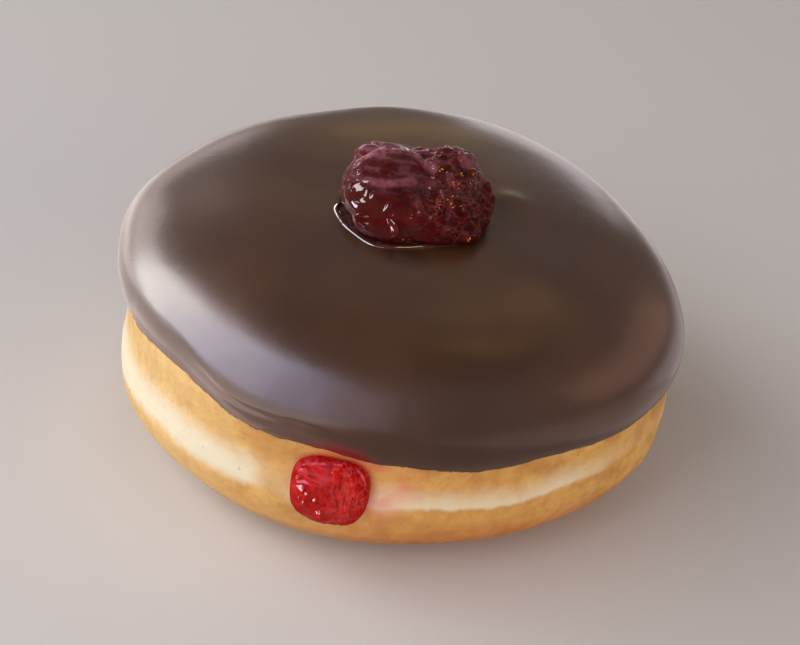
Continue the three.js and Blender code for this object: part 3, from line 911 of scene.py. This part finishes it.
cameraLook = {
    "azimuth": 6.6, "elevation": 33.1, "roll": 9.9,
    "distance": 450, "lens": 127.6,  # mm
    "aim": (0, 0, 22), "offset": (0.81, -0.48),  # mm, the offset is across the view
}

studio = {
    "floorColor": (0.66, 0.65, 0.64, 1),
    "reach": 0.8, "height": 0.03,  # from the doughnut to the softboxes
    "fills": (  # name, azimuth, elevation, size, radiance, colour: they leave no reflection
        ("left fill", 176, 22, (0.5, 0.42), 4.6, (1, 1, 1)),
        ("front left fill", 224, 32, (0.8, 0.8), 2.0, (0.96, 0.95, 1)),
        ("front fill", 268, 28, (0.5, 0.7), 1.4, (0.9, 0.88, 1)),
        ("right fill", -26, 16, (0.7, 0.5), 2.0, (1, 0.86, 0.7)),
    ),
    "wallAzimuth": 228, "wallDistance": 0.7,
    "panes": (  # name, start, end, low, high, radiance, colour, pieces: the windows in the glaze
        ("window end", 156, 180, -4, 32, 7.0, (1, 0.98, 0.95), icingOnly),
        ("window end top", 158, 184, 32, 46, 2.4, (1, 0.85, 0.95), icingOnly),
        ("window one", 180, 196, -4, 51, 5.4, (0.88, 0.88, 1), icingAndDough),
        ("window two", 196, 214, -4, 55, 5.0, (0.79, 0.82, 1), icingAndDough),
        ("window three", 214, 238, -4, 58, 3.7, (0.71, 0.76, 1), icingAndDough),
        ("window four", 238, 262, -4, 60, 1.9, (0.6, 0.64, 1), icingAndDough),
        ("window five", 262, 290, -4, 50, 0.75, (0.76, 0.72, 1), icingAndDough),
    ),
    "softboxes": (  # name, azimuth, elevation, size, radiance, colour, pieces, reflection alone
        ("right wall", 24, 20, (1.0, 0.46), 0.62, (1, 0.52, 0.4), everyPiece, True),
        ("left corner", 145, 10, (0.34, 0.34), 2.2, (1, 0.88, 0.86), icingAndDough, True),
        ("back left wall", 121, 5, (0.3, 0.18), 1.45, (1, 0.88, 0.86), everyPiece, True),
        ("back right strip", 87, 1, (0.2, 0.14), 1.8, (1, 0.94, 0.98), everyPiece, True),
        ("upper left wall", 124, 26, (0.22, 0.16), 0.5, (1, 0.9, 0.88), icingAndDough, True),
        ("golden glow 0", 74, 52, (0.16, 0.07), 1.1, (1, 0.6, 0.14), icingOnly, False),
        ("golden glow 1", 45, 68, (0.16, 0.07), 1.1, (1, 0.6, 0.14), icingOnly, False),
        ("golden glow 2", 98, 14, (0.16, 0.07), 1.1, (1, 0.6, 0.14), icingOnly, False),
        ("high lamp", 198, 36, (0.22, 0.18), 14, (1, 0.93, 0.93), jamOnly, False),
        ("low lamp", 198, 3, (0.24, 0.1), 20, (0.95, 0.88, 1), jamOnly, False),
        ("bead sheen", 198, 36, (0.5, 0.36), 5, (1, 0.62, 0.7), beadOnly, True),
        ("bead lamp", 198, 6, (0.42, 0.2), 16, (1, 0.86, 0.9), beadOnly, True),
        ("back glow", 118, 12, (0.7, 0.2), 1.2, (1, 0.62, 0.72), jamAndBead, False),
        ("syrup back light", 138, 14, (0.9, 0.34), 16, (1, 0.95, 0.96), syrupOnly, True),
        ("syrup front light", 208, 18, (1.0, 0.44), 22, (0.9, 0.9, 1), syrupOnly, True),
        ("syrup side light", 262, 14, (0.6, 0.2), 8, (0.86, 0.88, 1), syrupOnly, True),
        ("syrup glint", 340, 60, (0.34, 0.14), 20, (1, 0.7, 0.28), syrupOnly, True),
    ),
    "cards": (  # name, at, turn, size, radiance, colour: the lit table, as the icing mirrors it
        ("table card", (-0.16, -0.135), -161, (0.3, 0.42), 1.3, (1, 0.86, 0.82)),
        ("near card", (-0.058, -0.072), -135, (0.1, 0.05), 0.5, (1, 0.66, 0.56)),
        ("far card", (-0.25, 0.12), -127, (0.32, 0.3), 1.6, (1, 0.9, 0.88)),
        ("right card", (0.13, -0.045), 0, (0.15, 0.15), 0.3, (1, 0.76, 0.7)),
        ("right back card", (0.1425, 0.165), 0, (0.165, 0.27), 0.6, (1, 0.82, 0.86)),
        ("back card", (0.015, 0.265), 0, (0.09, 0.33), 1.15, (1, 0.97, 0.98)),
    ),
    "cardHeight": 0.002,
    "roomColor": (1, 0.84, 0.76, 1), "overheadColor": (0.46, 0.38, 0.34, 1), "roomStrength": 0.26,
    "overheadFrom": 0.8, "overheadTo": 0.95,  # where the room darkens, 1 is straight up
}


def makeCamera():
    look = cameraLook
    azimuth, elevation = radians(look["azimuth"]), radians(look["elevation"])
    turn = Euler((pi / 2 - elevation, 0, azimuth)).to_matrix()
    turn = turn @ Matrix.Rotation(radians(look["roll"]), 3, "Z")
    aim = Vector(look["aim"]) + turn @ Vector((*look["offset"], 0))
    bpy.ops.object.camera_add(location=(aim + turn @ Vector((0, 0, look["distance"]))) * mm,
                              rotation=turn.to_euler())
    camera = bpy.context.active_object
    camera.data.lens = look["lens"]
    camera.data.sensor_width = 36
    camera.data.clip_start = 0.01
    bpy.context.scene.camera = camera


def addLight(name, at, turn, size, radiance, color, pieces=everyPiece):
    bpy.ops.object.light_add(type="AREA", location=at, rotation=turn.to_euler())
    light = bpy.context.active_object
    light.name = name
    light.data.shape = "RECTANGLE"
    light.data.size, light.data.size_y = size
    light.data.energy = radiance * pi * size[0] * size[1]
    light.data.color = color
    light.visible_camera = False
    if pieces:
        only = bpy.data.collections.new(f"{name} on")
        for piece in pieces:
            only.objects.link(bpy.data.objects[piece])
        light.light_linking.receiver_collection = only
    return light


def addSoftbox(name, azimuth, elevation, *settings):
    azimuth, elevation = radians(azimuth), radians(elevation)
    away = Vector((cos(azimuth) * cos(elevation), sin(azimuth) * cos(elevation), sin(elevation)))
    at = away * studio["reach"] + Vector((0, 0, studio["height"]))
    return addLight(name, at, away.to_track_quat("Z", "Y"), *settings)


def addPane(name, start, end, low, high, *settings):  # a part of the window wall
    facing, distance = studio["wallAzimuth"], studio["wallDistance"]
    left, right = (distance * tan(radians(azimuth - facing)) for azimuth in (start, end))
    away = hypot(distance, (left + right) / 2)
    bottom, top = (away * tan(radians(elevation)) + studio["height"] for elevation in (low, high))
    outwards = Vector((cos(radians(facing)), sin(radians(facing)), 0))
    along = Vector((-outwards.y, outwards.x, 0))
    at = outwards * distance + along * (left + right) / 2 + Vector((0, 0, (bottom + top) / 2))
    size = (right - left, top - bottom)
    return addLight(name, at, outwards.to_track_quat("Z", "Y"), size, *settings)


def makeFloor():
    bpy.ops.mesh.primitive_plane_add(size=4, location=(0, 0, 0))
    floor = bpy.context.active_object
    floor.name = "floor"
    finish = Finish("pale floor").set(Base_Color=studio["floorColor"], Roughness=0.8)
    floor.data.materials.append(finish.material)
    floor.visible_glossy = False  # the glaze shows the cards, not the floor


def makeRoom():  # soft light from all round, dimmer overhead
    world = bpy.data.worlds.new("studio")
    bpy.context.scene.world = world
    world.use_nodes = True
    tree = world.node_tree
    sky = Wire(tree, tree.nodes.new("ShaderNodeTexCoord").outputs["Generated"])
    height = sky.node("ShaderNodeSeparateXYZ", {}, {0: sky}, 2)
    overhead = height.above(studio["overheadFrom"], studio["overheadTo"])
    values = {"Factor": overhead, 6: studio["roomColor"], 7: studio["overheadColor"]}
    room = sky.node("ShaderNodeMix", {"data_type": "RGBA"}, values, 2)
    background = tree.nodes["Background"]
    tree.links.new(room.socket, background.inputs["Color"])
    background.inputs["Strength"].default_value = studio["roomStrength"]


def makeStudio():
    makeFloor()
    for fill in studio["fills"]:
        addSoftbox(*fill).visible_glossy = False
    for pane in studio["panes"]:
        addPane(*pane).visible_diffuse = False
    for *settings, reflectionAlone in studio["softboxes"]:
        addSoftbox(*settings).visible_diffuse = not reflectionAlone
    for name, at, turn, *settings in studio["cards"]:
        faceUp = Euler((pi, 0, radians(turn))).to_quaternion()
        card = addLight(name, Vector((*at, studio["cardHeight"])), faceUp, *settings, icingOnly)
        card.visible_diffuse = False
    makeRoom()
    bpy.context.scene.view_settings.view_transform = "Standard"
    print("studio", len(bpy.data.lights), "lights")


makeStudio()
makeCamera()
